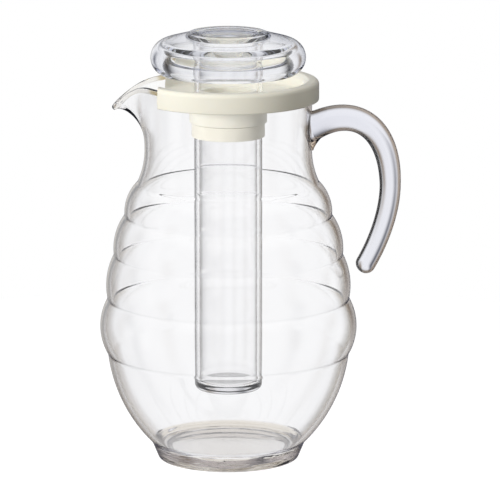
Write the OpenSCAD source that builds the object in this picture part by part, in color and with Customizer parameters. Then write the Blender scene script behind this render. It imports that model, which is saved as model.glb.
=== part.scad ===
// Clear beehive pitcher with a lift-off lid, a clear lid knob and an ice core
// that hangs in the drink. Millimetres, +Z up. The origin is the centre of the
// foot, on the surface that the pitcher stands on. The spout points to -X.

/* [Jug body] */
// Widest diameter of the body, at its lowest ring
belly_d = 165; // [150:1:180]
// Outer diameter of the straight neck
neck_d = 107; // [100:1:114]
// Height of the neck above the throat, up to the rim
neck_h = 44.5; // [38:0.5:60]
// Thickness of the body wall
wall = 3; // [2:0.1:4]
// Outer diameter of the foot where it stands
foot_d = 90; // [80:1:94]
// Height of the foot band
foot_h = 11; // [8:0.5:13]
// Height of the hollow under the foot
foot_hollow = 4; // [2:0.5:5]
// Width of the ring that the foot stands on
foot_ring_w = 5; // [4:0.5:8]
// Thickness of the floor of the jug
floor_t = 5; // [3:0.5:7]
// Height of the plain bowl above the foot band
bowl_h = 58; // [50:1:62]
// Height of the widest ring
ring_1_h = 35.3; // [30:0.1:38]
// Height of the second ring
ring_2_h = 28.7; // [24:0.1:32]
// Height of the third ring
ring_3_h = 25.7; // [21:0.1:28]
// Height of the shoulder ring
ring_4_h = 21.3; // [18:0.1:24]
// Height of the hollow curve from the shoulder ring to the neck
throat_h = 20; // [15:0.5:22]
// How far the bowl swells past a straight side
bowl_swell = 5.5; // [3:0.5:8]
// How far the widest ring swells past a straight side
ring_1_swell = 4.9; // [3:0.1:6]
// How far the upper rings swell past a straight side
ring_swell = 2.6; // [1:0.1:4]
// How far the throat draws in from a straight side
throat_draw = 1; // [0.5:0.1:2]
// Radius of the rounded rim edges
rim_round = 1.1; // [0.5:0.1:1.4]

/* [Spout] */
// How far the tip of the spout stands out from the neck
spout_reach = 20.5; // [14:0.5:24]
// How far the tip of the spout lies below the rim
spout_drop = 18.5; // [8:0.5:22]
// Height of the spout, from its root on the neck to the rim
spout_h = 40; // [34:1:44]

/* [Handle] */
// Distance of the middle of the grip outside the belly, at its widest
handle_out = 21.5; // [18:0.5:30]
// Depth below the rim of the handle's root on the neck
handle_root_drop = 29; // [26:0.5:32]
// Depth below the rim of the widest place of the grip
handle_bend_drop = 64.5; // [60:0.5:72]
// Depth below the rim of the middle of the grip's free end
handle_end_drop = 116.5; // [110:0.5:124]
// How far the free end turns back towards the body
handle_end_in = 15.5; // [10:0.5:17]
// Thickness of the grip near its root
handle_root_t = 16; // [13:0.5:18]
// Thickness of the grip at its widest place
handle_bend_t = 12.8; // [11:0.2:15]
// Thickness of the grip near its free end
handle_end_t = 12.2; // [10:0.2:14]
// Depth of the web under the root, along the neck
handle_web_h = 14; // [8:0.5:18]
// Thickness of the web under the root
handle_web_t = 7; // [4:0.5:10]

/* [Lid] */
// Clearance between the neck and the skirt of the lid
lid_skirt_gap = 2.1; // [1.5:0.1:5]
// Thickness of the lid's outer skirt
lid_skirt_t = 2.4; // [1.6:0.1:2.8]
// Height of the lid's outer skirt
lid_skirt_h = 13; // [8:0.5:16]
// Thickness of the lid's top and floor
lid_t = 2.2; // [1.6:0.1:3]
// Radius of the rounded top edge of the lid
lid_round = 3; // [1:0.1:3.2]
// Depth of the dish in the lid, below its top
lid_dish_h = 10; // [7:0.5:12]
// Distance from the jug's axis to the flat pouring edge of the lid
lid_cut_x = 42; // [41:0.2:44]
// Side clearance between the lid's plug and the neck
plug_gap = 0.3; // [0.2:0.05:0.6]
// Height of the locating ring for the knob
boss_h = 4; // [2:0.5:7]

/* [Knob] */
// Widest diameter of the knob
knob_d = 99; // [92:1:106]
// Height of the knob above the floor of the dish
knob_h = 40.4; // [36:0.1:44]
// Outer diameter of the post of the knob
post_d = 44; // [38:0.5:48]
// Wall thickness of the post
post_t = 3; // [2:0.1:4]
// Width of the raised lip around the well
well_lip_w = 3.6; // [2:0.1:5]
// Height of the raised lip around the well
well_lip_h = 0.9; // [0.4:0.1:1.4]
// Depth of the well in the top of the knob
well_h = 24; // [14:0.5:26]
// Radius of the rounded outer edge of the knob
knob_round = 11.5; // [9:0.5:12]
// Thickness of the knob's dome
dome_t = 6.5; // [4:0.5:8]
// Thickness of the knob's outer edge
knob_edge_t = 8.5; // [6:0.5:9]

/* [Ice core] */
// Outer diameter of the ice tube
tube_d = 43.4; // [40:0.2:46]
// Wall thickness of the ice tube
tube_t = 3; // [2:0.1:3.6]
// Thickness of the ice tube's floor
tube_floor_t = 4.5; // [3:0.5:7]
// Radius of the ice tube's bottom edge
tube_round = 4; // [2:0.5:6]
// Free height between the ice tube and the floor of the jug
tube_clear_h = 36; // [24:1:60]
// Wall thickness of the threaded part of the tube's collar
spigot_t = 1.15; // [0.8:0.05:1.6]
// Thickness of the wall of the lid's socket
socket_t = 1.6; // [1.2:0.1:3]
// Depth of the lid's socket below the floor of the lid
socket_h = 15.2; // [14:0.1:20]
// Height of the collar's grip below the socket
grip_h = 8.7; // [6:0.1:12]
// How far the collar's grip stands out from its threaded part
grip_step = 0.5; // [0.4:0.1:1.5]
// Thickness of the ring seal above the tube
seal_t = 2; // [1.5:0.1:2.5]

/* [Hidden] */

$fn = 96;

// Overrun that keeps a cut clear of the face it goes through
cut = 1;
// Gap between parts that seat on each other and come apart
seat_gap = 0.3;
// Gap of a bonded joint between two round parts
bond_gap = 0.05;

neck_r = neck_d / 2;
belly_r = belly_d / 2;
bore_r = neck_r - wall;
foot_r = foot_d / 2;

// Heights of the lines between the rings
bowl_z = foot_h + bowl_h;
ring_1_z = bowl_z + ring_1_h;
ring_2_z = ring_1_z + ring_2_h;
ring_3_z = ring_2_z + ring_3_h;
ring_4_z = ring_3_z + ring_4_h;
throat_z = ring_4_z + throat_h;
rim_h = throat_z + neck_h;
floor_z = foot_hollow + floor_t;

// Radii of those lines, as shares of the way from the neck to the belly
line_1_r = belly_r - ring_1_swell;
line_2_r = line_1_r;
line_span = line_1_r - neck_r;
line_3_share = 0.83;
line_4_share = 0.54;
line_5_share = 0.2;
foot_top_share = 0.14;
line_3_r = neck_r + line_3_share * line_span;
line_4_r = neck_r + line_4_share * line_span;
line_5_r = neck_r + line_5_share * line_span;
foot_top_r = foot_r + foot_top_share * (line_1_r - foot_r);
foot_round = foot_h / 4;
floor_round = floor_t;

clear = ["#e9edf5", 0.45];
cream = "#f4f0e4";
rubber = "#d8d8d4";

// Points of an arc from a to b that swells to the right by s, without b
function arc_points(a, b, s, n) =
    let (d = b - a,
         chord = norm(d),
         side = s < 0 ? -1 : 1,
         rise = abs(s),
         r = (chord * chord / 4 + rise * rise) / (2 * rise),
         half = asin(chord / (2 * r)),
         out = side * [d.y, -d.x] / chord,
         centre = (a + b) / 2 - (r - rise) * out)
    [for (k = [0 : n - 1])
        let (angle = half * (2 * k / n - 1))
        centre + r * cos(angle) * out + r * sin(angle) * d / chord];

// Points of a quarter round from a to b about the corner c, without b
function corner_points(a, c, b, n) =
    [for (k = [0 : n - 1])
        let (t = 90 * k / n)
        a + (c - a) * sin(t) + (b - c) * (1 - cos(t))];

// Unit normal to the right of the way from a to b
function right_of(a, b) = let (d = b - a) [d.y, -d.x] / norm(d);

// A line of points moved to its left by w, with mitred corners
function moved_in(points, w) =
    let (last = len(points) - 1)
    [for (k = [0 : last])
        let (before = right_of(points[max(k - 1, 0)], points[max(k, 1)]),
             after = right_of(points[min(k, last - 1)], points[min(k + 1, last)]))
        points[k] - w * (before + after) / (1 + before * after)];

// Outer side of the body, from the top of the foot band to the neck, and the
// number of steps in each of its arcs
bowl_steps = 12;
ring_1_steps = 9;
ring_steps = 7;
ring_4_steps = 6;
throat_steps = 5;
bowl_end = bowl_steps;
ring_1_end = bowl_end + ring_1_steps;
ring_2_end = ring_1_end + ring_steps;
ring_3_end = ring_2_end + ring_steps;
ring_4_end = ring_3_end + ring_4_steps;
throat_end = ring_4_end + throat_steps;
body_side = concat(
    arc_points([foot_top_r, foot_h], [line_1_r, bowl_z], bowl_swell, bowl_steps),
    arc_points([line_1_r, bowl_z], [line_2_r, ring_1_z], ring_1_swell, ring_1_steps),
    arc_points([line_2_r, ring_1_z], [line_3_r, ring_2_z], ring_swell, ring_steps),
    arc_points([line_3_r, ring_2_z], [line_4_r, ring_3_z], ring_swell, ring_steps),
    arc_points([line_4_r, ring_3_z], [line_5_r, ring_4_z], ring_swell, ring_4_steps),
    arc_points([line_5_r, ring_4_z], [neck_r, throat_z], -throat_draw, throat_steps),
    [[neck_r, throat_z]]);
body_inside = moved_in(body_side, wall);

// Section of the rounded rim from the outer to the inner side. The end of the
// wall is at p, t points along the wall and n out of it.
function rim_points(p, t, n) =
    let (r = rim_round,
         bevel_share = 1 - cos(45),
         b = bevel_share * r,
         steps = [[0, r], [b, b], [r, 0], [wall - r, 0], [wall - b, b], [wall, r]])
    [for (s = steps) p - s.x * n - s.y * t];

// Foot band and floor of the jug
module jug_base() {
    first_in = body_inside[0];
    hollow_r = foot_r - foot_ring_w;
    color(clear[0], clear[1])
        rotate_extrude()
            polygon(concat(
                [[0, foot_hollow], [hollow_r - foot_hollow / 2, foot_hollow]],
                [[hollow_r, 0]],
                corner_points([foot_r - foot_round, 0], [foot_r, 0], [foot_r, foot_round], 3),
                [[foot_r, foot_round], body_side[0], first_in],
                [[first_in.x - floor_round, floor_z], [0, floor_z]]));
}

// A band of the jug's wall between two points of its side
module body_band(first, last) {
    color(clear[0], clear[1])
        rotate_extrude()
            polygon(concat(
                [for (k = [first : last]) body_side[k]],
                [for (k = [last : -1 : first]) body_inside[k]]));
}

// The hollow curve from the shoulder up to where the spout starts
module throat() {
    color(clear[0], clear[1])
        rotate_extrude()
            polygon(concat(
                [for (k = [ring_4_end : throat_end]) body_side[k]],
                [[neck_r, spout_z], [bore_r, spout_z]],
                [for (k = [throat_end : -1 : ring_4_end]) body_inside[k]]));
}

// The spout is the top of the neck drawn out and down. The pull is full in the
// middle and fades to nothing at the edges of its sector.
spout_half = 40;
spout_nose = 2.2;
spout_fade = 9;
spout_out_power = 1.8;
spout_dip_power = 1.6;
spout_side_angles = [40, 33, 27, 22, 18, 14.5, 11.5, 9, 7, 5.2, 3.6, 2.2, 1];
spout_rows = 8;
spout_z = rim_h - spout_h;
back_step = 5.6;

function pull_share(angle) = abs(angle) >= spout_half ? 0 :
    exp((spout_nose - sqrt(angle * angle + spout_nose * spout_nose)) / spout_fade)
    * (1 - (angle / spout_half) * (angle / spout_half));

// Place on the outer face of the spout, as radius and height
function spout_place(angle, s) =
    let (pull = pull_share(angle))
    [neck_r + spout_reach * pull * pow(s, spout_out_power),
     spout_z + spout_h * s - spout_drop * pow(pull, spout_dip_power) * s * s];

// Direction of the spout's face along its height
function spout_way(angle, s) =
    let (pull = pull_share(angle),
         d = [spout_reach * pull * spout_out_power * pow(s, spout_out_power - 1),
              spout_h - 2 * spout_drop * pow(pull, spout_dip_power) * s])
    d / norm(d);

// Section of the neck's wall at one angle from the middle of the spout
function neck_section(angle) =
    let (rows = [for (k = [0 : spout_rows]) k / (spout_rows + 1)],
         end = spout_place(angle, 1),
         way = spout_way(angle, 1))
    concat(
        [for (s = rows) spout_place(angle, s)],
        rim_points(end, way, [way.y, -way.x]),
        [for (k = [spout_rows : -1 : 0])
            let (s = rows[k], t = spout_way(angle, s))
            spout_place(angle, s) - wall * [t.y, -t.x]]);

// Faces between closed sections of m points each, from section i to section k
function faces_between(i, k, m) =
    [for (j = [0 : m - 1])
        let (a = i * m, b = k * m, n = (j + 1) % m)
        each [[a + j, a + n, b + n], [a + j, b + n, b + j]]];

// A solid through a list of closed sections with the same even number of points
module loft(sections) {
    last = len(sections) - 1;
    m = len(sections[0]);
    sides = [for (i = [0 : last - 1]) each faces_between(i, i + 1, m)];
    first_end = [for (j = [0 : m / 2 - 2])
        let (a = j, b = m - 1 - j)
        each [[a, b - 1, a + 1], [a, b, b - 1]]];
    last_end = [for (f = first_end) [last * m + f[2], last * m + f[1], last * m + f[0]]];
    polyhedron([for (s = sections) each s], concat(sides, first_end, last_end), convexity = 8);
}

// The same, closed in a ring with no ends
module loft_ring(sections) {
    count = len(sections);
    m = len(sections[0]);
    sides = [for (i = [0 : count - 1]) each faces_between(i, (i + 1) % count, m)];
    polyhedron([for (s = sections) each s], sides, convexity = 8);
}

// The neck with the spout drawn out of it
module neck() {
    angles = concat(
        [for (a = spout_side_angles) -a],
        [0],
        [for (k = [len(spout_side_angles) - 1 : -1 : 0]) spout_side_angles[k]],
        [for (a = [spout_half + back_step : back_step : 360 - spout_half - back_step / 2]) a]);
    color(clear[0], clear[1])
        loft_ring([for (a = angles)
            let (turn = a > 180 ? a - 360 : a)
            [for (p = neck_section(turn)) [-p.x * cos(a), -p.x * sin(a), p.y]]]);
}

// Handle
handle_bend_x = belly_r + handle_out;
handle_reach = handle_bend_x - neck_r;
handle_root_z = rim_h - handle_root_drop;
handle_bend_z = rim_h - handle_bend_drop;
handle_end_z = rim_h - handle_end_drop;
handle_rise = handle_root_z - handle_bend_z;
handle_fall = handle_bend_z - handle_end_z;
// Where the pull points of the two curves lie, as shares of their spans
root_pull_shares = [0.55, 0.52];
bend_pull_shares = [1.1, 0.33];
end_pull_shares = [0.45, 0.71];
handle_depth_share = 1.08;
root_flare_share = 0.12;
handle_sides = 20;
handle_rings = 18;
handle_tip_rings = 4;

handle_root = [neck_r - wall, handle_root_z];
upper_curve = [
    handle_root,
    handle_root + [root_pull_shares.x * (handle_reach + wall), root_pull_shares.y * handle_rise],
    [handle_bend_x, handle_bend_z + bend_pull_shares.x * handle_rise],
    [handle_bend_x, handle_bend_z]];
lower_curve = [
    [handle_bend_x, handle_bend_z],
    [handle_bend_x, handle_bend_z - bend_pull_shares.y * handle_fall],
    [handle_bend_x - end_pull_shares.x * handle_end_in,
     handle_bend_z - end_pull_shares.y * handle_fall],
    [handle_bend_x - handle_end_in, handle_end_z]];

function curve_place(c, t) =
    let (u = 1 - t)
    u * u * u * c[0] + 3 * u * u * t * c[1] + 3 * u * t * t * c[2] + t * t * t * c[3];

function curve_way(c, t) =
    let (u = 1 - t,
         d = u * u * (c[1] - c[0]) + 2 * u * t * (c[2] - c[1]) + t * t * (c[3] - c[2]))
    d / norm(d);

// Oval section across the way w at the place p, with half thickness r
function grip_ring(p, w, r) =
    [for (k = [0 : handle_sides - 1])
        let (a = -360 * k / handle_sides,
             side = r * cos(a) * [w.y, -w.x],
             depth = handle_depth_share * r * sin(a))
        [p.x + side.x, depth, p.y + side.y]];

module grip() {
    tip = curve_place(lower_curve, 1);
    tip_way = curve_way(lower_curve, 1);
    tip_r = handle_end_t / 2;
    loft(concat(
        [for (k = [0 : handle_rings])
            let (t = k / handle_rings,
                 thick = handle_root_t + (handle_bend_t - handle_root_t) * t * t,
                 flare = 1 + root_flare_share * pow(1 - t, 8))
            grip_ring(curve_place(upper_curve, t), curve_way(upper_curve, t), flare * thick / 2)],
        [for (k = [1 : handle_rings])
            let (t = k / handle_rings,
                 thick = handle_bend_t + (handle_end_t - handle_bend_t) * t)
            grip_ring(curve_place(lower_curve, t), curve_way(lower_curve, t), thick / 2)],
        [for (k = [1 : handle_tip_rings])
            let (a = 90 * k / (handle_tip_rings + 0.5))
            grip_ring(tip + tip_r * sin(a) * tip_way, tip_way, tip_r * cos(a))]));
}

module handle_web() {
    low = handle_root_z - handle_web_h;
    top_share = 0.12;
    toe_share = 0.06;
    rotate([90, 0, 0])
        linear_extrude(handle_web_t, center = true)
            polygon([[handle_root.x, low],
                     [neck_r + toe_share * handle_web_h, low],
                     [neck_r + handle_root_t / 2, handle_root_z - top_share * handle_web_h],
                     [handle_root.x, handle_root_z]]);
}

module handle() {
    seat_h = handle_root_t + handle_web_h;
    color(clear[0], clear[1])
        difference() {
            union() {
                grip();
                handle_web();
            }
            translate([0, 0, handle_root_z - seat_h])
                cylinder(r = neck_r, h = 2 * seat_h);
        }
}

// Lid
lid_r = neck_r + lid_skirt_gap + lid_skirt_t;
lid_under_z = rim_h + seat_gap;
lid_top_z = lid_under_z + lid_t;
lid_skirt_z = lid_top_z - lid_skirt_h;
dish_z = lid_top_z - lid_dish_h;
lid_floor_z = dish_z - lid_t;
plug_r = bore_r - plug_gap;
dish_r = plug_r - lid_t;
dish_slope = lid_t / 2;
tube_r = tube_d / 2;
spigot_r = tube_r + bond_gap + spigot_t;
socket_r = spigot_r + seat_gap;
socket_z = lid_floor_z - socket_h;
boss_r = post_d / 2 - post_t - seat_gap;

lid_floor_r = dish_r - 2 * dish_slope;

// What is left of the lid's round parts once their flat pouring edge is cut
module with_flat_edge() {
    difference() {
        children();
        translate([-lid_cut_x - 2 * lid_r, -lid_r - cut, socket_z - cut])
            cube([2 * lid_r, 2 * lid_r + 2 * cut, lid_top_z - socket_z + 2 * cut]);
    }
}

// Skirt, channel over the jug's rim, plug and slope of the dish
module lid_rim() {
    skirt_in_r = lid_r - lid_skirt_t;
    color(cream)
        with_flat_edge()
            rotate_extrude()
                polygon(concat(
                    [[lid_floor_r, lid_floor_z]],
                    corner_points([plug_r - lid_t, lid_floor_z], [plug_r, lid_floor_z],
                                  [plug_r, dish_z], 3),
                    [[plug_r, dish_z], [plug_r, lid_under_z], [skirt_in_r, lid_under_z]],
                    [[skirt_in_r, lid_skirt_z], [lid_r, lid_skirt_z]],
                    corner_points([lid_r, lid_top_z - lid_round], [lid_r, lid_top_z],
                                  [lid_r - lid_round, lid_top_z], 4),
                    [[lid_r - lid_round, lid_top_z], [plug_r + dish_slope, lid_top_z]],
                    [[dish_r, lid_top_z - lid_t], [dish_r - dish_slope, dish_z + dish_slope]],
                    [[lid_floor_r, dish_z]]));
}

// Floor of the dish, with the ring that locates the knob
module lid_floor() {
    boss_in_r = boss_r - lid_t;
    color(cream)
        with_flat_edge()
            rotate_extrude()
                polygon([[0, lid_floor_z], [lid_floor_r, lid_floor_z], [lid_floor_r, dish_z],
                         [boss_r, dish_z], [boss_r, dish_z + boss_h],
                         [boss_in_r, dish_z + boss_h], [boss_in_r, dish_z], [0, dish_z]]);
}

// Socket under the lid, for the collar of the ice core
module lid_socket() {
    color(cream)
        translate([0, 0, socket_z])
            difference() {
                cylinder(r = socket_r + socket_t, h = socket_h);
                translate([0, 0, -cut])
                    cylinder(r = socket_r, h = socket_h + 2 * cut);
            }
}

// Knob
knob_r = knob_d / 2;
post_r = post_d / 2;
well_r = post_r - post_t;
knob_top_z = dish_z + knob_h;
edge_centre_r = knob_r - knob_round;
dome_slope_angle = 15;
lip_r = post_r + well_lip_w;
dome_top_z = knob_top_z - well_lip_h;
// The dome falls in a straight slope from the lip to the rounded edge
edge_top = edge_centre_r + knob_round * sin(dome_slope_angle);
edge_centre_z = dome_top_z - (edge_top - lip_r) * tan(dome_slope_angle)
    - knob_round * cos(dome_slope_angle);
edge_low_angle = -60;
knob_steps = 12;

edge_high_angle = 90 - dome_slope_angle;
edge_line = [for (k = [0 : knob_steps])
    let (a = edge_low_angle + (edge_high_angle - edge_low_angle) * k / knob_steps)
    [edge_centre_r + knob_round * cos(a), edge_centre_z + knob_round * sin(a)]];
well_z = knob_top_z - well_h;
hollow_r = knob_r - knob_edge_t;
ceiling_z = dome_top_z - dome_t - (hollow_r - lip_r) * tan(dome_slope_angle);
ceiling_in_z = dome_top_z - dome_t;
ceiling_steps = 5;
// Share of the way from the post's flare to the edge that the hollow's round takes
ceiling_round_share = 0.8125;
ceiling_run = ceiling_round_share * (hollow_r - post_r - post_t);
ceiling_line = corner_points(
    [hollow_r - ceiling_run, ceiling_z + ceiling_run / 2 * tan(dome_slope_angle)],
    [hollow_r, ceiling_z],
    [hollow_r, edge_centre_z], ceiling_steps);
ceiling_split = 3;

// Post of the knob, with the well in its top
module knob_post() {
    well_floor_z = well_z - post_t;
    color(clear[0], clear[1])
        rotate_extrude()
            polygon(concat(
                [[0, well_floor_z], [well_r, well_floor_z], [well_r, dish_z], [post_r, dish_z]],
                [[post_r, knob_top_z]],
                corner_points([well_r + post_t / 2, knob_top_z], [well_r, knob_top_z],
                              [well_r, knob_top_z - post_t / 2], 3),
                [[well_r, knob_top_z - post_t / 2], [well_r, well_z], [0, well_z]]));
}

// Dome of the knob, with the raised lip round the well
module knob_dome() {
    lip_round = well_lip_h;
    color(clear[0], clear[1])
        rotate_extrude()
            polygon(concat(
                [[post_r, ceiling_in_z - post_t], [post_r + post_t, ceiling_in_z]],
                [for (k = [0 : ceiling_split]) ceiling_line[k]],
                [edge_line[knob_steps]],
                [[lip_r, dome_top_z], [lip_r - lip_round / 2, knob_top_z], [post_r, knob_top_z]]));
}

// Rounded outer edge of the knob
module knob_edge() {
    color(clear[0], clear[1])
        rotate_extrude()
            polygon(concat(
                [for (k = [ceiling_split : ceiling_steps - 1]) ceiling_line[k]],
                [[hollow_r, edge_centre_z], [hollow_r + rim_round, edge_line[0].y]],
                edge_line));
}

// Ice core
seal_top_z = lid_floor_z - seat_gap;
collar_top_z = seal_top_z - seal_t - seat_gap;
tube_z = floor_z + tube_clear_h;
tube_in_r = tube_r - tube_t;
grip_top_z = socket_z - seat_gap;

module tube_collar() {
    grip_r = spigot_r + grip_step;
    bore = tube_r + bond_gap;
    bevel = grip_step / 2;
    color(cream)
        rotate_extrude()
            polygon([[bore, grip_top_z - grip_h],
                     [grip_r - bevel, grip_top_z - grip_h],
                     [grip_r, grip_top_z - grip_h + bevel],
                     [grip_r, grip_top_z],
                     [spigot_r, grip_top_z],
                     [spigot_r, collar_top_z - bevel],
                     [spigot_r - bevel, collar_top_z],
                     [bore, collar_top_z]]);
}

module tube_seal() {
    color(rubber)
        translate([0, 0, seal_top_z - seal_t])
            difference() {
                cylinder(r = spigot_r, h = seal_t);
                translate([0, 0, -cut])
                    cylinder(r = tube_in_r, h = seal_t + 2 * cut);
            }
}

module ice_tube() {
    in_round = tube_round / 2;
    in_z = tube_z + tube_floor_t;
    color(clear[0], clear[1])
        rotate_extrude()
            polygon(concat(
                [[0, tube_z]],
                corner_points([tube_r - tube_round, tube_z], [tube_r, tube_z],
                              [tube_r, tube_z + tube_round], 5),
                [[tube_r, tube_z + tube_round], [tube_r, collar_top_z], [tube_in_r, collar_top_z]],
                corner_points([tube_in_r, in_z + in_round], [tube_in_r, in_z],
                              [tube_in_r - in_round, in_z], 4),
                [[tube_in_r - in_round, in_z], [0, in_z]]));
}

jug_base();
body_band(0, bowl_end / 2);  // bowl_low
body_band(bowl_end / 2, bowl_end);  // bowl_high
body_band(bowl_end, ring_1_end);  // ring_1
body_band(ring_1_end, ring_2_end);  // ring_2
body_band(ring_2_end, ring_3_end);  // ring_3
body_band(ring_3_end, ring_4_end);  // ring_4
throat();
neck();
handle();
lid_rim();
lid_floor();
lid_socket();
knob_post();
knob_dome();
knob_edge();
tube_collar();
tube_seal();
ice_tube();
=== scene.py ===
"""Looks of the pitcher with ice core: clear moulded pieces, a cream lid and collar, on white."""

import math

import bmesh
import bpy
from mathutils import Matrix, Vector


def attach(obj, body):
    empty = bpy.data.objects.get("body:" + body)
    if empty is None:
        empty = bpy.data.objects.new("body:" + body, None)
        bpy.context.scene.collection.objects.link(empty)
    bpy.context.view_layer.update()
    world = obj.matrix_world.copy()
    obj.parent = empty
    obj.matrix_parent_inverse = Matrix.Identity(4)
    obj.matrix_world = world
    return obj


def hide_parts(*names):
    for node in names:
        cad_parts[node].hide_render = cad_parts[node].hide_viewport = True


MM = 0.001
TURN = 2 * math.pi
# Steps round a turned piece, and the radius below which a point lies on its axis
SEGMENTS, ON_AXIS = 288, 1e-6
# Mesh attribute that marks the beaded edge of the neck for the painted brown shade of its material
LIP = "lip"
# Sharpest bend in degrees that is shaded smooth
CREASE = 38.0
WHITE = (1.0, 1.0, 1.0)
# Colour sockets of a mix node
MIX_A, MIX_B, MIX_OUT = 6, 7, 2

# Sizes in millimetres and angles in degrees, as in the CAD part
NECK_R, WALL, RIM_Z = 53.5, 3.0, 244.5
BORE_R = NECK_R - WALL
FOOT_R, FOOT_Z, FOOT_HOLLOW, FOOT_RING, FLOOR_Z = 45.0, 11.0, 4.0, 5.0, 9.0
# The lines between the rings, from the bowl up to the neck
BOWL_R, LINE_SHARES = 77.6, (1, 1, 0.83, 0.54, 0.2)
LINE_R = [NECK_R + share * (BOWL_R - NECK_R) for share in LINE_SHARES]
LINE_Z = (69.0, 104.3, 133.0, 158.7, 180.0, 200.0)
FOOT_TOP_SHARE = 0.14
FOOT_TOP_R = FOOT_R + FOOT_TOP_SHARE * (BOWL_R - FOOT_R)
# How far each stretch of the side swells out, and its steps
SWELLS = (5.5, 4.9, 2.6, 2.6, 2.6, -1.0)
SWELL_STEPS = (36, 24, 20, 18, 16, 14)
# The spout. Its tip is fitted to the photograph within a millimetre of the CAD part's
SPOUT_REACH, SPOUT_DROP, SPOUT_H, SPOUT_HALF = 20.4, 17.9, 40.0, 40.0
SPOUT_NOSE, SPOUT_FADE, SPOUT_POWER, SPOUT_DIP = 2.2, 9.0, 1.8, 1.6
SPOUT_Z, SPOUT_HOOK = RIM_Z - SPOUT_H, 18.0
# Rows of points on each side of the neck, from the spout's start to the bead
PLAIN_ROWS = 25
LID_TOP_Z, LID_UNDER_Z, DISH_Z, LID_CUT_X = 247.0, 244.8, 237.0, 42.0
LID_R, LID_T, LID_SKIRT_T, LID_SKIRT_Z, LID_ROUND = 58.0, 2.2, 2.4, 234.0, 3.0
PLUG_GAP, POST_GAP = 0.3, 0.3
PLUG_R = BORE_R - PLUG_GAP
POST_R, POST_T = 22.0, 3.0
TUBE_R, TUBE_T, TUBE_Z = 21.7, 3.0, 45.0
SPIGOT_R, SOCKET_R, SOCKET_T, SOCKET_Z = 22.9, 23.2, 1.6, 219.6
COLLAR_TOP_Z, GRIP_H, GRIP_OUT = 232.2, 8.7, 0.5
SEAL_TOP_Z, SEAL_T = 234.5, 2.0
ROOT_Z, BEND_X, BEND_Z, END_Z, END_IN = 215.5, 104.0, 180.0, 128.0, 15.5
ROOT_T, BEND_T, END_T = 16.0, 12.8, 12.2
ROOT_PULL_SHARES, BEND_PULL_SHARES, END_PULL_SHARES = (0.55, 0.52), (1.1, 0.33), (0.45, 0.71)
KNOB_R, KNOB_EDGE_T, KNOB_H = 49.5, 8.5, 40.4
# The knob's hollow: its radius, and the level of its ceiling at that radius
HOLLOW_R, CEILING_Z = KNOB_R - KNOB_EDGE_T, 265.8

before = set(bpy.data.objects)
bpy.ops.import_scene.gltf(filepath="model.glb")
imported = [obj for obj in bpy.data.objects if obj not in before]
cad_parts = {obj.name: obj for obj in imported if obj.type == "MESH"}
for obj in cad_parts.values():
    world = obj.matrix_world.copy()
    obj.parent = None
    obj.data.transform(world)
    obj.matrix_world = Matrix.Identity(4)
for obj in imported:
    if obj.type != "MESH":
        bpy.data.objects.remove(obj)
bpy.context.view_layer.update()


# Lines

def arc(a, b, swell, n):
    """Points of an arc from a to b that swells to the right by swell, without b."""
    dx, dz = b[0] - a[0], b[1] - a[1]
    chord = math.hypot(dx, dz)
    side = -1 if swell < 0 else 1
    rise = abs(swell)
    r = (chord * chord / 4 + rise * rise) / (2 * rise)
    half = math.asin(chord / (2 * r))
    ox, oz = side * dz / chord, -side * dx / chord
    cx = (a[0] + b[0]) / 2 - (r - rise) * ox
    cz = (a[1] + b[1]) / 2 - (r - rise) * oz
    made = []
    for k in range(n):
        t = half * (2 * k / n - 1)
        made.append((cx + r * math.cos(t) * ox + r * math.sin(t) * dx / chord,
                     cz + r * math.cos(t) * oz + r * math.sin(t) * dz / chord))
    return made


def unit(v):
    """The direction of v, one long."""
    n = math.hypot(*v)
    return (v[0] / n, v[1] / n)


def moved_in(points, w):
    """The line moved to its left by w, with mitred corners."""
    last = len(points) - 1
    made = []
    for k, p in enumerate(points):
        a, b = points[max(k - 1, 0)], points[max(k, 1)]
        c, d = points[min(k, last - 1)], points[min(k + 1, last)]
        u = unit((b[0] - a[0], b[1] - a[1]))
        v = unit((d[0] - c[0], d[1] - c[1]))
        n = (u[1] + v[1], -u[0] - v[0])
        share = w / (1 + u[0] * v[0] + u[1] * v[1])
        made.append((p[0] - share * n[0], p[1] - share * n[1]))
    return made


def soften(points, reach, steps=5, closed=False):
    """The line with every sharp corner rounded over reach, or over nearly half its sides."""
    least_turn, side_share = 9.0, 0.48
    made = []
    count = len(points)
    for i, p in enumerate(points):
        if not closed and i in (0, count - 1):
            made.append(p)
            continue
        a, b = points[i - 1], points[(i + 1) % count]
        la, lb = math.dist(a, p), math.dist(b, p)
        u = ((p[0] - a[0]) / la, (p[1] - a[1]) / la)
        v = ((b[0] - p[0]) / lb, (b[1] - p[1]) / lb)
        turn = abs(math.degrees(math.atan2(u[0] * v[1] - u[1] * v[0], u[0] * v[0] + u[1] * v[1])))
        if turn < least_turn:
            made.append(p)
            continue
        d = min(reach, side_share * la, side_share * lb)
        s = (p[0] - u[0] * d, p[1] - u[1] * d)
        e = (p[0] + v[0] * d, p[1] + v[1] * d)
        for k in range(steps + 1):
            t = k / steps
            made.append(tuple((1 - t) ** 2 * s[m] + 2 * t * (1 - t) * p[m] + t * t * e[m]
                              for m in (0, 1)))
    return made


def quarter(a, b, steps):
    """A quarter round from a, straight up from it, to b."""
    return [(b[0] + (a[0] - b[0]) * math.cos(math.pi / 2 * k / steps),
             a[1] + (b[1] - a[1]) * math.sin(math.pi / 2 * k / steps)) for k in range(steps + 1)]


# Meshes

def mesh_object(name, points, faces, crease=CREASE):
    """A mesh object from points in millimetres, smooth except at its sharp edges."""
    mesh = bpy.data.meshes.new(name)
    mesh.from_pydata([(x * MM, y * MM, z * MM) for x, y, z in points], [], faces)
    obj = bpy.data.objects.new(name, mesh)
    bpy.context.scene.collection.objects.link(obj)
    finish_mesh(obj, crease)
    return obj


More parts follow.
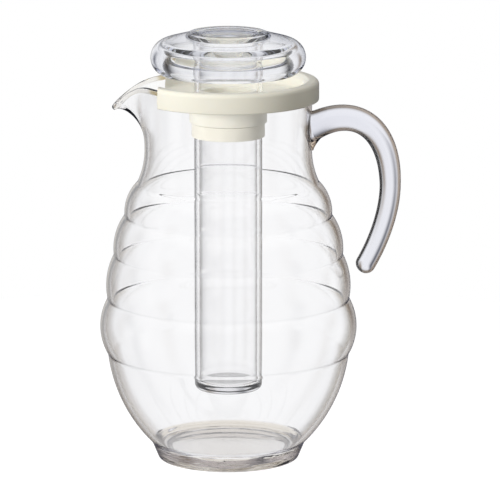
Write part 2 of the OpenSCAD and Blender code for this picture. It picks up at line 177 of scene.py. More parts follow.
def finish_mesh(obj, crease=CREASE):
    """Joins doubled points, turns all faces outward and marks the edges sharper than crease."""
    same = 1e-7
    mesh = obj.data
    bm = bmesh.new()
    bm.from_mesh(mesh)
    bmesh.ops.remove_doubles(bm, verts=bm.verts, dist=same)
    bmesh.ops.recalc_face_normals(bm, faces=bm.faces)
    for f in bm.faces:
        f.smooth = True
    for e in bm.edges:
        e.smooth = not (len(e.link_faces) == 2
                        and e.calc_face_angle(0) > math.radians(crease))
    open_edges = sum(len(e.link_faces) != 2 for e in bm.edges)
    bm.to_mesh(mesh)
    bm.free()
    mesh.update()
    if open_edges:
        print("open edges in", obj.name, open_edges)


def grid(name, rows, crease=CREASE):
    """A closed solid from rows of points: each row a ring, or one point at a pole."""
    points, faces, starts = [], [], []
    for row in rows:
        starts.append(len(points))
        points += row
    for k in range(len(rows) - 1):
        a, b = starts[k], starts[k + 1]
        na, nb = len(rows[k]), len(rows[k + 1])
        n = max(na, nb)
        for j in range(n):
            i = (j + 1) % n
            if na == 1:
                faces.append((a, b + i, b + j))
            elif nb == 1:
                faces.append((a + j, a + i, b))
            else:
                faces.append((a + j, a + i, b + i, b + j))
    return mesh_object(name, points, faces, crease)


def spin(name, profile, closed=False):
    """A turned solid. A closed profile goes round; an open one ends on the axis."""
    rows = []
    for r, z in profile + (profile[:1] if closed else []):
        if r < ON_AXIS:
            rows.append([(0.0, 0.0, z)])
        else:
            rows.append([(r * math.cos(TURN * j / SEGMENTS), r * math.sin(TURN * j / SEGMENTS), z)
                         for j in range(SEGMENTS)])
    return grid(name, rows)


def applied(obj, kind, **values):
    """Applies one modifier to the object's mesh at once."""
    mod = obj.modifiers.new("step", kind)
    for key, value in values.items():
        setattr(mod, key, value)
    bpy.context.view_layer.update()
    dg = bpy.context.evaluated_depsgraph_get()
    made = bpy.data.meshes.new_from_object(obj.evaluated_get(dg))
    obj.modifiers.clear()
    obj.data = made


def boolean(obj, other, operation):
    """Joins the other object to the first or cuts it away, and removes the other."""
    applied(obj, "BOOLEAN", object=other, operation=operation, solver="EXACT")
    bpy.data.objects.remove(other)
    finish_mesh(obj)


# Materials

def material(name, **inputs):
    """A plain material. Each input is named as its socket, with _ for a blank."""
    mat = bpy.data.materials.new(name)
    mat.use_nodes = True
    bsdf = mat.node_tree.nodes["Principled BSDF"]
    for key, value in inputs.items():
        bsdf.inputs[key.replace("_", " ")].default_value = value
    return mat


def mixed_colour(tree, factor, a, b):
    """From colour a to colour b by factor. Each colour is three numbers or a socket."""
    mix = tree.nodes.new("ShaderNodeMix")
    mix.data_type = "RGBA"
    tree.links.new(factor, mix.inputs[0])
    for socket, colour in ((mix.inputs[MIX_A], a), (mix.inputs[MIX_B], b)):
        if isinstance(colour, tuple):
            socket.default_value = (*colour, 1)
        else:
            tree.links.new(colour, socket)
    return mix.outputs[MIX_OUT]


def calc(tree, kind, *values):
    """One sum with numbers or sockets."""
    node = tree.nodes.new("ShaderNodeMath")
    node.operation = kind
    for socket, value in zip(node.inputs, values):
        if isinstance(value, (int, float)):
            socket.default_value = value
        else:
            tree.links.new(value, socket)
    return node.outputs[0]


def smooth_share(tree, value, start, end):
    """A share that goes smoothly from 0 where value is start to 1 where it is end."""
    share = tree.nodes.new("ShaderNodeMapRange")
    share.interpolation_type = "SMOOTHSTEP"
    share.inputs["From Min"].default_value = start
    share.inputs["From Max"].default_value = end
    tree.links.new(value, share.inputs["Value"])
    return share.outputs[0]


def zone(tree, *limits):
    """A share that is 1 in part of the object.

    Each limit is an axis (x, z, or r for the distance from the pitcher's axis) and the places
    on it, in millimetres, where the share is 0 and 1."""
    new, link = tree.nodes.new, tree.links.new
    where, axes = new("ShaderNodeTexCoord"), new("ShaderNodeSeparateXYZ")
    flat, far = new("ShaderNodeCombineXYZ"), new("ShaderNodeVectorMath")
    far.operation = "LENGTH"
    link(where.outputs["Object"], axes.inputs[0])
    link(axes.outputs[0], flat.inputs[0])
    link(axes.outputs[1], flat.inputs[1])
    link(flat.outputs[0], far.inputs[0])
    values = {"x": axes.outputs[0], "z": axes.outputs[2], "r": far.outputs["Value"]}
    made = None
    for axis, start, end in limits:
        share = smooth_share(tree, values[axis], start * MM, end * MM)
        made = calc(tree, "MULTIPLY", made, share) if made else share
    return made


def flat_share(tree, limits):
    """A share that grows with the flatness of the angle at which a face is seen."""
    weight = tree.nodes.new("ShaderNodeLayerWeight")
    return smooth_share(tree, weight.outputs["Facing"], *limits)


def flat_zone(tree, facing, *limits):
    """The share of flat_share within a zone."""
    return calc(tree, "MULTIPLY", flat_share(tree, facing), zone(tree, *limits))


def marked(tree, name):
    """The share that the mesh attribute of this name gives."""
    node = tree.nodes.new("ShaderNodeAttribute")
    node.attribute_name = name
    return node.outputs["Fac"]


def clear_material(name, tint, density, ior, rough, painted_rim_shades, painted_rim_range, painted_shades=()):
    """Clear plastic that takes up a little light along its depth, density per metre.

    Where it is seen at a flat angle, as at its outline, painted shade darkens it: towards the
    first of two outline colours where it faces the spout's side, and the second where it faces the
    handle's. Each painted shade of the last argument is a colour, the function that makes its
    share, and that function's values."""
    change_over = 0.5
    mat = material(name, Transmission_Weight=1.0, IOR=ior, Roughness=rough)
    tree = mat.node_tree
    new, link = tree.nodes.new, tree.links.new
    where, axes, to_handle = (new("ShaderNodeTexCoord"), new("ShaderNodeSeparateXYZ"),
                              new("ShaderNodeMapRange"))
    to_handle.inputs["From Min"].default_value = -change_over
    to_handle.inputs["From Max"].default_value = change_over
    link(where.outputs["Normal"], axes.inputs[0])
    link(axes.outputs[0], to_handle.inputs["Value"])
    # Painted outline shade, one colour towards the spout's side and one towards the handle's
    painted_rim_shade = mixed_colour(tree, to_handle.outputs[0], *painted_rim_shades)
    made = WHITE
    for colour, build, *values in painted_shades:
        made = mixed_colour(tree, build(tree, *values), made, colour)
    made = mixed_colour(tree, flat_share(tree, painted_rim_range), made, painted_rim_shade)
    link(made, tree.nodes["Principled BSDF"].inputs["Base Color"])
    soak = new("ShaderNodeVolumeAbsorption")
    soak.inputs["Color"].default_value = (*tint, 1)
    soak.inputs["Density"].default_value = density
    link(soak.outputs[0], tree.nodes["Material Output"].inputs["Volume"])
    return mat


def wavy(mat, round_count, up_count, depth, *limits):
    """Shallow waves on the surface within a zone, as in a thick moulded edge.

    There are round_count waves a metre round the axis and up_count along it."""
    tree = mat.node_tree
    new, link = tree.nodes.new, tree.links.new
    where, spread = new("ShaderNodeTexCoord"), new("ShaderNodeVectorMath")
    spread.operation = "MULTIPLY"
    spread.inputs[1].default_value = (round_count, round_count, up_count)
    link(where.outputs["Object"], spread.inputs[0])
    noise, bump = new("ShaderNodeTexNoise"), new("ShaderNodeBump")
    noise.inputs["Scale"].default_value = 1.0
    noise.inputs["Detail"].default_value = 1.0
    link(spread.outputs[0], noise.inputs["Vector"])
    link(noise.outputs[0], bump.inputs["Height"])
    bump.inputs["Distance"].default_value = depth * MM
    link(zone(tree, *limits), bump.inputs["Strength"])
    link(bump.outputs[0], tree.nodes["Principled BSDF"].inputs["Normal"])


# The foot's band is wavy, and painted browner as shade. The lip and the handle's web get painted
# brown shade too
WAVES_ROUND, WAVES_UP, WAVES_DEEP = 40.0, 330.0, 2.2
WAVY_ZONE = (("z", FOOT_Z + 1, FOOT_Z - 1), ("r", FOOT_R - 3, FOOT_R - 1.5))
FOOT_PAINTED_SHADE = ((0.70, 0.63, 0.52), zone, ("z", FOOT_Z, FOOT_Z - 2), ("r", FOOT_R - 2, FOOT_R - 0.8))
LIP_PAINTED_SHADE = ((0.56, 0.48, 0.31), marked, LIP)
WEB_PAINTED_SHADE = ((0.66, 0.54, 0.42), zone, ("x", NECK_R + 5, NECK_R + 3), ("z", ROOT_Z - 5, ROOT_Z - 8))
# The wall of the knob's hollow turns light aside where it is seen flat; that shade is painted on it
# in black
HOLLOW_ZONE = (("r", HOLLOW_R - 1.5, HOLLOW_R - 0.8), ("r", HOLLOW_R + 2.6, HOLLOW_R + 1.6),
               ("z", CEILING_Z + 0.2, CEILING_Z - 0.8))
HOLLOW_PAINTED_SHADE = ((0.0, 0.0, 0.0), flat_zone, (0.38, 0.62), *HOLLOW_ZONE)

# Each clear material is darkened by painted shade at its outline, and the body, handle and knob
# carry painted brown or black shade in places
clear_body_mat = clear_material(
    "clear_body", tint=(0.70, 0.71, 0.84), density=12.0, ior=1.50, rough=0.0,
    painted_rim_shades=((0.30, 0.245, 0.17), (0.48, 0.41, 0.33)), painted_rim_range=(0.57, 0.86),
    painted_shades=(FOOT_PAINTED_SHADE, LIP_PAINTED_SHADE))
wavy(clear_body_mat, WAVES_ROUND, WAVES_UP, WAVES_DEEP, *WAVY_ZONE)
clear_handle_mat = clear_material(
    "clear_handle", tint=(0.70, 0.715, 0.82), density=42.0, ior=1.49, rough=0.02,
    painted_rim_shades=((0.0, 0.0, 0.0), (0.20, 0.14, 0.09)), painted_rim_range=(0.17, 0.40), painted_shades=(WEB_PAINTED_SHADE,))
clear_knob_mat = clear_material(
    "clear_knob", tint=(0.66, 0.69, 0.80), density=18.0, ior=1.49, rough=0.01,
    painted_rim_shades=((0.008, 0.009, 0.014), (0.008, 0.009, 0.014)), painted_rim_range=(0.8, 0.97),
    painted_shades=(HOLLOW_PAINTED_SHADE,))
clear_tube_mat = clear_material(
    "clear_tube", tint=(0.70, 0.70, 0.74), density=14.0, ior=1.50, rough=0.01,
    painted_rim_shades=((0.02, 0.018, 0.016), (0.02, 0.018, 0.016)), painted_rim_range=(0.5, 0.85))
cream_mat = material("cream", Base_Color=(0.78, 0.758, 0.665, 1), Roughness=0.32,
                     Subsurface_Weight=0.15, Subsurface_Radius=(0.004, 0.003, 0.002))
# The collar's own cream, made a little darker than the lid's as painted shade for the clear pieces
# round it, which cast no shadow
shaded_cream_collar_mat = material("cream_collar", Base_Color=(0.77, 0.742, 0.645, 1), Roughness=0.36)
silicone_mat = material("silicone", Base_Color=(0.80, 0.80, 0.78, 1), Roughness=0.5,
                        Transmission_Weight=0.35)
CLEAR_MATS = (clear_body_mat, clear_handle_mat, clear_knob_mat, clear_tube_mat)


def place(obj, mat, body, slot, *nodes):
    """Gives a piece its material and its body, and hides the CAD nodes that it stands for. The slot
    is not used.
    """
    obj.data.materials.clear()
    obj.data.materials.append(mat)
    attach(obj, body)
    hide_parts(*nodes)
    if mat in CLEAR_MATS:
        obj.visible_shadow = False


# Jug body

def body_side():
    """The outer side from the foot band to the neck: one arc for each stretch between lines."""
    neck = (NECK_R, LINE_Z[-1])
    lines = [(FOOT_TOP_R, FOOT_Z)] + list(zip(LINE_R, LINE_Z)) + [neck]
    side = []
    for a, b, swell, n in zip(lines, lines[1:], SWELLS, SWELL_STEPS):
        side += arc(a, b, swell, n)
    return side + [neck]


def pull_share(angle):
    """How much the spout is drawn out at an angle from its middle."""
    a = abs(angle)
    if a >= SPOUT_HALF:
        return 0.0
    return (math.exp((SPOUT_NOSE - math.hypot(a, SPOUT_NOSE)) / SPOUT_FADE)
            * (1 - (a / SPOUT_HALF) ** 2))


def spout_place(pull, s):
    """The outer side of the upper neck, from s = 0 at the spout's start to s = 1 at the edge."""
    return (NECK_R + SPOUT_REACH * pull * s ** SPOUT_POWER,
            SPOUT_Z + SPOUT_H * s - SPOUT_DROP * pull ** SPOUT_DIP * s * s
            + SPOUT_HOOK * pull ** 2 * (s ** 4 - s ** 5))


def spout_way(pull, s):
    """The direction of the line of spout_place."""
    return unit((SPOUT_REACH * pull * SPOUT_POWER * s ** (SPOUT_POWER - 1),
                 SPOUT_H - 2 * SPOUT_DROP * pull ** SPOUT_DIP * s
                 + SPOUT_HOOK * pull ** 2 * (4 * s ** 3 - 5 * s ** 4)))


def neck_line(angle):
    """Upper neck at one angle from the spout: outer side, rounded lip, inner side."""
    lip, lip_steps, lip_power = 1.35, 12, 0.8
    bead_h, bead_t, bead_steps = 3.2, 0.55, 5
    pull = pull_share(angle)
    end_share = 1 - lip / SPOUT_H
    bead_share = 1 - bead_h / SPOUT_H
    outer, inner = [], []
    steps = [bead_share * k / PLAIN_ROWS for k in range(1, PLAIN_ROWS + 1)]
    steps += [bead_share + (end_share - bead_share) * k / bead_steps
              for k in range(1, bead_steps + 1)]
    for k, s in enumerate(steps):
        p, t = spout_place(pull, s), spout_way(pull, s)
        out = bead_t * min(max((k - PLAIN_ROWS + 1) / 2, 0), 1)
        outer.append((p[0] + out * t[1], p[1] - out * t[0]))
        inner.append((p[0] - WALL * t[1], p[1] + WALL * t[0]))
    t = spout_way(pull, end_share)
    a, b = outer[-1], inner[-1]
    lip_points = []
    for k in range(1, lip_steps):
        u = math.pi * k / lip_steps
        across = (1 - math.cos(u)) / 2
        along = lip * math.sin(u) ** lip_power
        lip_points.append((a[0] + (b[0] - a[0]) * across + t[0] * along,
                           a[1] + (b[1] - a[1]) * across + t[1] * along))
    return outer + lip_points + inner[::-1]


def jug_columns():
    """Angles of the columns from the spout, in degrees, close together at the spout."""
    first_step, growth, rest = 0.32, 0.03, 150
    angles = [0.0]
    a = 0.0
    while a < SPOUT_HALF:
        a += first_step + a * growth
        angles.append(min(a, SPOUT_HALF))
    angles += [SPOUT_HALF + (180 - SPOUT_HALF) * k / rest for k in range(1, rest)]
    return [-a for a in angles[:0:-1]] + angles + [180.0]


def lip_shade_share(angle):
    """How strongly painted brown shade lies on the lip: most beside the flat edge of the lid, which
    crosses it.
    """
    least, start, full, fade, end = 0.22, 25.0, 29.0, 38.0, 60.0
    a = abs(angle)
    grown = min(max((a - start) / (full - start), 0), 1)
    left = min(max((end - a) / (end - fade), 0), 1)
    return least + (1 - least) * grown * left


def make_jug():
    """The whole clear body: foot, bowl, rings and neck turned, the spout drawn out of them."""
    corner_reach, floor_step = 1.3, 5.0
    side = body_side()
    inside = moved_in(side, WALL)
    hollow_r = FOOT_R - FOOT_RING
    low_out = [(0.0, FOOT_HOLLOW), (hollow_r - FOOT_HOLLOW / 2, FOOT_HOLLOW), (hollow_r, 0.0),
               (FOOT_R, 0.0)] + side + [(NECK_R, SPOUT_Z)]
    low_out = soften(low_out, corner_reach)
    low_in = [(BORE_R, SPOUT_Z)] + inside[::-1] + [(inside[0][0] - floor_step, FLOOR_Z),
                                                   (0.0, FLOOR_Z)]
    low_in = soften(low_in, corner_reach)
    columns = jug_columns()
    lines = [low_out + neck_line(a) + low_in for a in columns]
    rows = []
    for k in range(len(lines[0])):
        ring = []
        for a, line in zip(columns, lines):
            r, z = line[k]
            t = math.radians(180 + a)
            ring.append((r * math.cos(t), r * math.sin(t), z))
        rows.append(ring if lines[0][k][0] > ON_AXIS else ring[:1])
    obj = grid("jug_clear", rows, crease=45.0)
    first_bead = len(low_out) + PLAIN_ROWS
    after_bead = len(low_out) + len(neck_line(0.0)) - PLAIN_ROWS
    # Share of painted brown shade at each point of the lip's rows
    marks = []
    for k, row in enumerate(rows):
        near = first_bead <= k < after_bead
        marks += [lip_shade_share(a) if near else 0.0 for a in columns[:len(row)]]
    assert len(marks) == len(obj.data.vertices)
    obj.data.attributes.new(LIP, "FLOAT", "POINT").data.foreach_set("value", marks)
    return obj


# Handle

RISE, FALL = ROOT_Z - BEND_Z, BEND_Z - END_Z
HANDLE_X = BEND_X - NECK_R + WALL
UPPER = [(BORE_R, ROOT_Z),
         (BORE_R + ROOT_PULL_SHARES[0] * HANDLE_X, ROOT_Z + ROOT_PULL_SHARES[1] * RISE),
         (BEND_X, BEND_Z + BEND_PULL_SHARES[0] * RISE), (BEND_X, BEND_Z)]
LOWER = [(BEND_X, BEND_Z), (BEND_X, BEND_Z - BEND_PULL_SHARES[1] * FALL),
         (BEND_X - END_PULL_SHARES[0] * END_IN, BEND_Z - END_PULL_SHARES[1] * FALL),
         (BEND_X - END_IN, END_Z)]
HANDLE_SIDES = 72
# Thickness of the grip from front to back, as a share of its thickness in its own plane
GRIP_DEPTH_SHARE = 1.08
# The handle flares by this share where it meets the neck, and stands this far off its face
ROOT_FLARE_SHARE, ROOT_FLARE_POWER, ROOT_GAP = 0.12, 8, 0.02
# How much fuller than round the grip is on the side of the fingers, where it is thickest
GRIP_FULLER = 0.9


def curve_place(c, t):
    """The place at t on the Bezier curve with the four points c."""
    u = 1 - t
    w = (u ** 3, 3 * u * u * t, 3 * u * t * t, t ** 3)
    return tuple(sum(w[k] * c[k][m] for k in range(4)) for m in (0, 1))


def curve_way(c, t):
    """The direction of the same curve at t."""
    u = 1 - t
    w = (u * u, 2 * u * t, t * t)
    return unit(tuple(sum(w[k] * (c[k + 1][m] - c[k][m]) for k in range(3)) for m in (0, 1)))


def grip_ring(p, w, r):
    """The grip's section at p on a line that goes along w, fuller on the side of the fingers."""
    ring = []
    for k in range(HANDLE_SIDES):
        a = TURN * k / HANDLE_SIDES
        side = r * math.cos(a) + GRIP_FULLER * (r / (ROOT_T / 2)) * (1 + math.cos(a)) / 2
        ring.append((p[0] + side * w[1], GRIP_DEPTH_SHARE * r * math.sin(a),
                     p[1] - side * w[0]))
    return ring


def on_neck(ring, w):
    """The ring's points moved back along w to the neck's face."""
    made = []
    for x, y, z in ring:
        d = (x - math.sqrt((NECK_R + ROOT_GAP) ** 2 - y * y)) / w[0]
        made.append((x - d * w[0], y, z - d * w[1]))
    return made


def root_flare(t):
    """The factor by which the handle is thicker near the neck."""
    return 1 + ROOT_FLARE_SHARE * (1 - t) ** ROOT_FLARE_POWER


def make_handle():
    """The J-shaped handle, from a flat end on the neck to a round tip, and its web."""
    first, end_shares, clear_of_neck = 0.045, (0, 0.25, 0.5, 0.75, 0.93, 1.0), 0.6
    first_step, steps, tip_steps, least_r = 6, 70, 14, 1e-4
    rows = []
    p, w = curve_place(UPPER, first), curve_way(UPPER, first)
    root_r = (ROOT_T / 2) * root_flare(first)
    for share in end_shares:
        ring = on_neck(grip_ring(p, w, max(root_r * share, least_r)), w)
        rows.append(ring[:1] if share == 0 else ring)
    for k in range(first_step, steps + 1):
        t = k / steps
        thick = ROOT_T + (BEND_T - ROOT_T) * t * t
        ring = grip_ring(curve_place(UPPER, t), curve_way(UPPER, t), root_flare(t) * thick / 2)
        if min(math.hypot(x, y) for x, y, z in ring) > NECK_R + clear_of_neck:
            rows.append(ring)
    for k in range(1, steps + 1):
        t = k / steps
        thick = BEND_T + (END_T - BEND_T) * t
        rows.append(grip_ring(curve_place(LOWER, t), curve_way(LOWER, t), thick / 2))
    tip, way, r = curve_place(LOWER, 1), curve_way(LOWER, 1), END_T / 2
    for k in range(1, tip_steps):
        a = math.pi / 2 * k / tip_steps
        centre = (tip[0] + r * math.sin(a) * way[0], tip[1] + r * math.sin(a) * way[1])
        rows.append(grip_ring(centre, way, r * math.cos(a)))
    rows.append([(tip[0] + r * way[0], 0.0, tip[1] + r * way[1])])
    obj = grid("handle_clear", rows, crease=50.0)
    boolean(obj, make_web(), "UNION")
    return obj


def make_web():
    """The thin web under the root: a hollow curve from the neck to the grip, with round edges.

    Its lower edge goes from low to high, drawn towards pull."""
    half, levels = 3.5, (-1, -0.95, -0.8, -0.5, 0, 0.5, 0.8, 0.95, 1)
    drop, edge_round, least_w, overrun, steps = 14.0, 1.6, 0.05, 1, 8
    low, high = (NECK_R + 0.9, ROOT_Z - drop), (NECK_R + 9.5, ROOT_Z - 2.5)
    pull = (NECK_R + 2.6, ROOT_Z - 8.5)
    points, faces = [], []
    for level in levels:
        y = half * level
        inset = edge_round * (1 - math.sqrt(1 - level * level))
        neck_x = math.sqrt((NECK_R + ROOT_GAP) ** 2 - y * y)
        web = [(neck_x, ROOT_Z - drop + inset)]
        for k in range(steps + 1):
            t = k / steps
            x, z = [(1 - t) ** 2 * low[m] + 2 * t * (1 - t) * pull[m] + t * t * high[m]
                    for m in (0, 1)]
            web.append((max(x - inset, neck_x + least_w), z + inset))
        web += [(high[0] - inset, ROOT_Z + overrun), (neck_x, ROOT_Z + overrun)]
        points += [(x, y, z) for x, z in web]
    n = len(web)
    for i in range(len(levels) - 1):
        faces += [(i * n + j, i * n + (j + 1) % n, (i + 1) * n + (j + 1) % n, (i + 1) * n + j)
                  for j in range(n)]
    last = (len(levels) - 1) * n
    faces += [tuple(range(n)), tuple(last + j for j in range(n))[::-1]]
    return mesh_object("web", points, faces)


# Lid, knob, ice core

def make_lid():
    """The cream lid, turned, with its edge at the spout cut off flat."""
    bevel, boss_h, edge_steps = 1.1, 4.0, 10
    cut_w, cut_l, cut_z = 60.0, 160.0, 235.0
    socket_out = SOCKET_R + SOCKET_T
    floor_z = DISH_Z - LID_T
    dish_r = PLUG_R - LID_T
    boss_r = POST_R - POST_T - POST_GAP
    profile = [(0.0, floor_z), (SOCKET_R, floor_z), (SOCKET_R, SOCKET_Z), (socket_out, SOCKET_Z),
               (socket_out, floor_z), (PLUG_R, floor_z), (PLUG_R, LID_UNDER_Z),
               (LID_R - LID_SKIRT_T, LID_UNDER_Z), (LID_R - LID_SKIRT_T, LID_SKIRT_Z),
               (LID_R, LID_SKIRT_Z),
               *quarter((LID_R, LID_TOP_Z - LID_ROUND), (LID_R - LID_ROUND, LID_TOP_Z), edge_steps),
               (PLUG_R + bevel, LID_TOP_Z), (dish_r, LID_TOP_Z - LID_T),
               (dish_r - bevel, DISH_Z + bevel), (dish_r - 2 * bevel, DISH_Z),
               (boss_r, DISH_Z), (boss_r, DISH_Z + boss_h), (boss_r - LID_T, DISH_Z + boss_h),
               (boss_r - LID_T, DISH_Z), (0.0, DISH_Z)]
    obj = spin("lid_cream", soften(profile, reach=0.9, steps=4))
    box = bpy.data.meshes.new("cut")
    cutter = bpy.data.objects.new("cut", box)
    bpy.context.scene.collection.objects.link(cutter)
    bm = bmesh.new()
    bmesh.ops.create_cube(bm, size=1.0)
    for v in bm.verts:
        v.co = Vector(((v.co.x * cut_w - LID_CUT_X - cut_w / 2) * MM, v.co.y * cut_l * MM,
                       (v.co.z * cut_w + cut_z) * MM))
    bm.to_mesh(box)
    bm.free()
    boolean(obj, cutter, "DIFFERENCE")
    return obj


def make_knob():
    """The clear knob. Its dome falls in a straight slope from its lip to the rounded edge."""
    edge_round, slope, dome_t, low, low_step = 11.5, 15.0, 6.5, -60.0, 1.1
    top_z, lip_h, lip_w, well_h = DISH_Z + KNOB_H, 0.9, 3.4, 24.0
    corner_r, corner_steps, edge_steps = 2.5, 8, 40
    well_r, lip_r = POST_R - POST_T, POST_R + lip_w
    rad = math.radians
    centre_r = KNOB_R - edge_round
    edge_top = centre_r + edge_round * math.sin(rad(slope))
    dome_z = top_z - lip_h
    slope_end_z = dome_z - (edge_top - lip_r) * math.tan(rad(slope))
    centre_z = slope_end_z - edge_round * math.cos(rad(slope))
    ceiling_z = dome_z - dome_t - (HOLLOW_R - lip_r) * math.tan(rad(slope))
    low_z = centre_z + edge_round * math.sin(rad(low))
    profile = [(0.0, top_z - well_h - POST_T), (well_r, top_z - well_h - POST_T), (well_r, DISH_Z),
               (POST_R, DISH_Z), (POST_R, dome_z - dome_t - POST_T),
               (POST_R + POST_T, dome_z - dome_t)]
    corner_z = ceiling_z - corner_r
    for k in range(corner_steps + 1):
        t = rad((90 - slope) * (1 - k / corner_steps))
        profile.append((HOLLOW_R - corner_r + corner_r * math.cos(t),
                        corner_z + corner_r * math.sin(t)))
    profile.append((HOLLOW_R + low_step, low_z))
    for k in range(edge_steps + 1):
        t = rad(low + (90 - slope - low) * k / edge_steps)
        profile.append((centre_r + edge_round * math.cos(t), centre_z + edge_round * math.sin(t)))
    profile += [(lip_r, dome_z), (lip_r - lip_h / 2, top_z), (well_r, top_z),
                (well_r, top_z - well_h), (0.0, top_z - well_h)]
    return spin("knob_clear", soften(profile, reach=1.0, steps=6))


def make_tube():
    """The ice tube, closed and rounded at its lower end."""
    floor_t, end_round = 4.5, 4.0
    in_r, in_z = TUBE_R - TUBE_T, TUBE_Z + floor_t
    profile = [(0.0, TUBE_Z), (TUBE_R, TUBE_Z), (TUBE_R, COLLAR_TOP_Z), (in_r, COLLAR_TOP_Z),
               (in_r, in_z), (0.0, in_z)]
    return spin("tube_clear", soften(profile, reach=end_round, steps=10))


def make_collar():
    """The collar on the tube: a grip, and above it the spigot that screws into the socket."""
    bond_gap, seat_gap = 0.05, 0.3
    bore, grip_r, top = TUBE_R + bond_gap, SPIGOT_R + GRIP_OUT, SOCKET_Z - seat_gap
    profile = [(bore, top - GRIP_H), (grip_r, top - GRIP_H), (grip_r, top), (SPIGOT_R, top),
               (SPIGOT_R, COLLAR_TOP_Z), (bore, COLLAR_TOP_Z)]
    profile = soften(profile, reach=0.3, steps=4, closed=True)
    return spin("collar_cream", profile, closed=True)


def make_seal():
    """The flat ring on top of the tube and its collar."""
    z = SEAL_TOP_Z - SEAL_T
    profile = [(TUBE_R - TUBE_T, z), (SPIGOT_R, z), (SPIGOT_R, SEAL_TOP_Z),
               (TUBE_R - TUBE_T, SEAL_TOP_Z)]
    profile = soften(profile, reach=0.5, steps=4, closed=True)
    return spin("seal_ring", profile, closed=True)


JUG_NODES = ("jug_base", "bowl_low", "bowl_high", "ring_1", "ring_2", "ring_3", "ring_4",
             "throat", "neck")
LID_NODES = ("lid_rim", "lid_floor", "lid_socket")
KNOB_NODES = ("knob_post", "knob_dome", "knob_edge")

place(make_jug(), clear_body_mat, "jug", "clear_body", *JUG_NODES)
place(make_handle(), clear_handle_mat, "jug", "clear_handle", "handle")
place(make_lid(), cream_mat, "lid_unit", "cream_lid", *LID_NODES)
place(make_knob(), clear_knob_mat, "lid_unit", "clear_knob", *KNOB_NODES)
place(make_collar(), shaded_cream_collar_mat, "ice_core", "cream_collar", "tube_collar")
place(make_seal(), silicone_mat, "seal", "silicone", "tube_seal")
place(make_tube(), clear_tube_mat, "ice_core", "clear_tube", "ice_tube")


# Stage and light

def make_floor():
    """A white disc under the pitcher. Past its edge the white world takes over."""
    radius, corners, below, grey, glow_strength = 0.5, 96, 0.0002, 0.5, 0.72
    mesh = bpy.data.meshes.new("floor")
    bm = bmesh.new()
    bmesh.ops.create_circle(bm, cap_ends=True, radius=radius, segments=corners)
    for v in bm.verts:
        v.co.z = -below
    bm.to_mesh(mesh)
    bm.free()
    obj = bpy.data.objects.new("floor", mesh)
    bpy.context.scene.collection.objects.link(obj)
    mat = bpy.data.materials.new("floor_white")
    mat.use_nodes = True
    tree = mat.node_tree
    tree.nodes.clear()
    matt = tree.nodes.new("ShaderNodeBsdfDiffuse")
    matt.inputs["Color"].default_value = (grey, grey, grey, 1)
    glow = tree.nodes.new("ShaderNodeEmission")
    glow.inputs["Strength"].default_value = glow_strength
    both = tree.nodes.new("ShaderNodeAddShader")
    out = tree.nodes.new("ShaderNodeOutputMaterial")
    tree.links.new(matt.outputs[0], both.inputs[0])
    tree.links.new(glow.outputs[0], both.inputs[1])
    tree.links.new(both.outputs[0], out.inputs[0])
    obj.data.materials.append(mat)
    obj.visible_diffuse = obj.visible_glossy = obj.visible_transmission = False


def rooms(tree):
    """Colours, by direction, of the two rooms that light in the clear pieces comes from.

    The one seen through them is white, with eight soft dark strips round it, brown and slate
    by turns. The one that they mirror is dark, with a white ceiling and four white boxes."""
    strip_count, strip_turn, strip_dark = 8.0, math.radians(22.5), 0.92
    strip_power, box_power, fade_power = 3.0, 5.0, 0.5
    fade_up, fade_down, ceiling_range = 1.5, -3.0, (0.3, 0.7)
    brown, slate, dark_room = (0.22, 0.15, 0.08), (0.05, 0.06, 0.09), (0.10, 0.105, 0.14)
    where, split = tree.nodes.new("ShaderNodeTexCoord"), tree.nodes.new("ShaderNodeSeparateXYZ")
    tree.links.new(where.outputs["Generated"], split.inputs[0])
    x, y, z = split.outputs
    turned = calc(tree, "SUBTRACT", calc(tree, "ARCTAN2", y, x), strip_turn)
    wave = calc(tree, "COSINE", calc(tree, "MULTIPLY", turned, strip_count))
    strip = calc(tree, "POWER", calc(tree, "MULTIPLY_ADD", wave, 0.5, 0.5), strip_power)
    slow_wave = calc(tree, "COSINE", calc(tree, "MULTIPLY", turned, strip_count / 2))
    slow = calc(tree, "MULTIPLY_ADD", slow_wave, 0.5, 0.5)
    away = calc(tree, "MAXIMUM", calc(tree, "MULTIPLY", z, fade_up),
                calc(tree, "MULTIPLY", z, fade_down))
    height = calc(tree, "SUBTRACT", 1.0, away)
    low = calc(tree, "POWER", calc(tree, "MAXIMUM", height, 0.0), fade_power)
    dark = calc(tree, "MULTIPLY", calc(tree, "MULTIPLY", strip, low), strip_dark)
    seen_through = mixed_colour(tree, dark, WHITE, mixed_colour(tree, slow, brown, slate))
    boxes = calc(tree, "MULTIPLY", calc(tree, "POWER", slow, box_power), low)
    bright = calc(tree, "MAXIMUM", smooth_share(tree, z, *ceiling_range), boxes)
    return seen_through, mixed_colour(tree, bright, dark_room, WHITE)


def background(tree, strength, colour):
    """A background of three numbers or a colour socket."""
    node = tree.nodes.new("ShaderNodeBackground")
    node.inputs["Strength"].default_value = strength
    if isinstance(colour, tuple):
        node.inputs["Color"].default_value = (*colour, 1)
    else:
        tree.links.new(colour, node.inputs["Color"])
    return node.outputs[0]


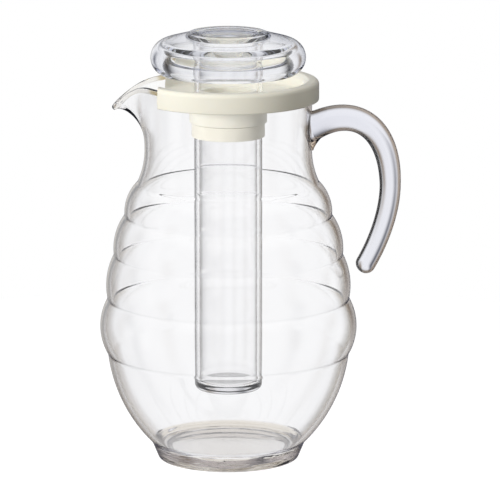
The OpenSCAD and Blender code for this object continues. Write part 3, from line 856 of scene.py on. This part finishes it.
def make_world():
    """White for the camera, dimmer on matt faces, and the two rooms for the clear pieces."""
    fill, fill_strength = (1.0, 0.97, 0.89), 0.31
    world = bpy.data.worlds.new("studio")
    bpy.context.scene.world = world
    world.use_nodes = True
    tree = world.node_tree
    tree.nodes.clear()
    seen_through, mirrored = rooms(tree)
    path = tree.nodes.new("ShaderNodeLightPath")
    made = background(tree, 1.0, mirrored)
    for ray, other in (("Is Transmission Ray", background(tree, 1.0, seen_through)),
                       ("Is Diffuse Ray", background(tree, fill_strength, fill)),
                       ("Is Camera Ray", background(tree, 1.0, WHITE))):
        mix = tree.nodes.new("ShaderNodeMixShader")
        tree.links.new(path.outputs[ray], mix.inputs[0])
        tree.links.new(made, mix.inputs[1])
        tree.links.new(other, mix.inputs[2])
        made = mix.outputs[0]
    tree.links.new(made, tree.nodes.new("ShaderNodeOutputWorld").inputs["Surface"])


def area(name, where, aim, size, watts):
    """An area lamp that clear pieces don't show."""
    data = bpy.data.lights.new(name, "AREA")
    data.shape, data.size, data.size_y = "RECTANGLE", size[0], size[1]
    data.energy = watts
    obj = bpy.data.objects.new(name, data)
    bpy.context.scene.collection.objects.link(obj)
    obj.location = where
    obj.rotation_mode = "QUATERNION"
    obj.rotation_quaternion = (Vector(aim) - Vector(where)).to_track_quat("-Z", "Y")
    obj.visible_glossy = False
    obj.visible_transmission = False


def make_camera():
    """The photograph's camera: a little to the right and above, framing view_w at the aim."""
    distance, turn, rise = 3.0, math.radians(3.6), math.radians(11.8)
    aim_right, aim_z, view_w = 0.0139, 0.1358, 0.321
    back = Vector((math.sin(turn) * math.cos(rise), -math.cos(turn) * math.cos(rise),
                   math.sin(rise)))
    right = Vector((math.cos(turn), math.sin(turn), 0))
    aim = right * aim_right + Vector((0, 0, aim_z))
    data = bpy.data.cameras.new("camera")
    data.sensor_width = 36.0
    data.lens = data.sensor_width * distance / view_w
    data.clip_start, data.clip_end = 0.05, 60
    obj = bpy.data.objects.new("camera", data)
    bpy.context.scene.collection.objects.link(obj)
    obj.location = aim + back * distance
    obj.rotation_mode = "QUATERNION"
    obj.rotation_quaternion = (-back).to_track_quat("-Z", "Y")
    bpy.context.scene.camera = obj


make_floor()
make_world()
area("key", where=(-1.22, -1.455, 0.48), aim=(0, 0, 0.22), size=(0.7, 0.5), watts=31)
area("top", where=(-0.3, -0.2, 1.6), aim=(0, 0, 0.24), size=(0.9, 0.9), watts=5.5)
make_camera()

bpy.context.scene.view_settings.view_transform = "Standard"
cycles = bpy.context.scene.cycles
# Enough for the knob, whose rays turn many times
cycles.max_bounces, cycles.glossy_bounces, cycles.transmission_bounces = 24, 8, 24

bpy.context.view_layer.update()
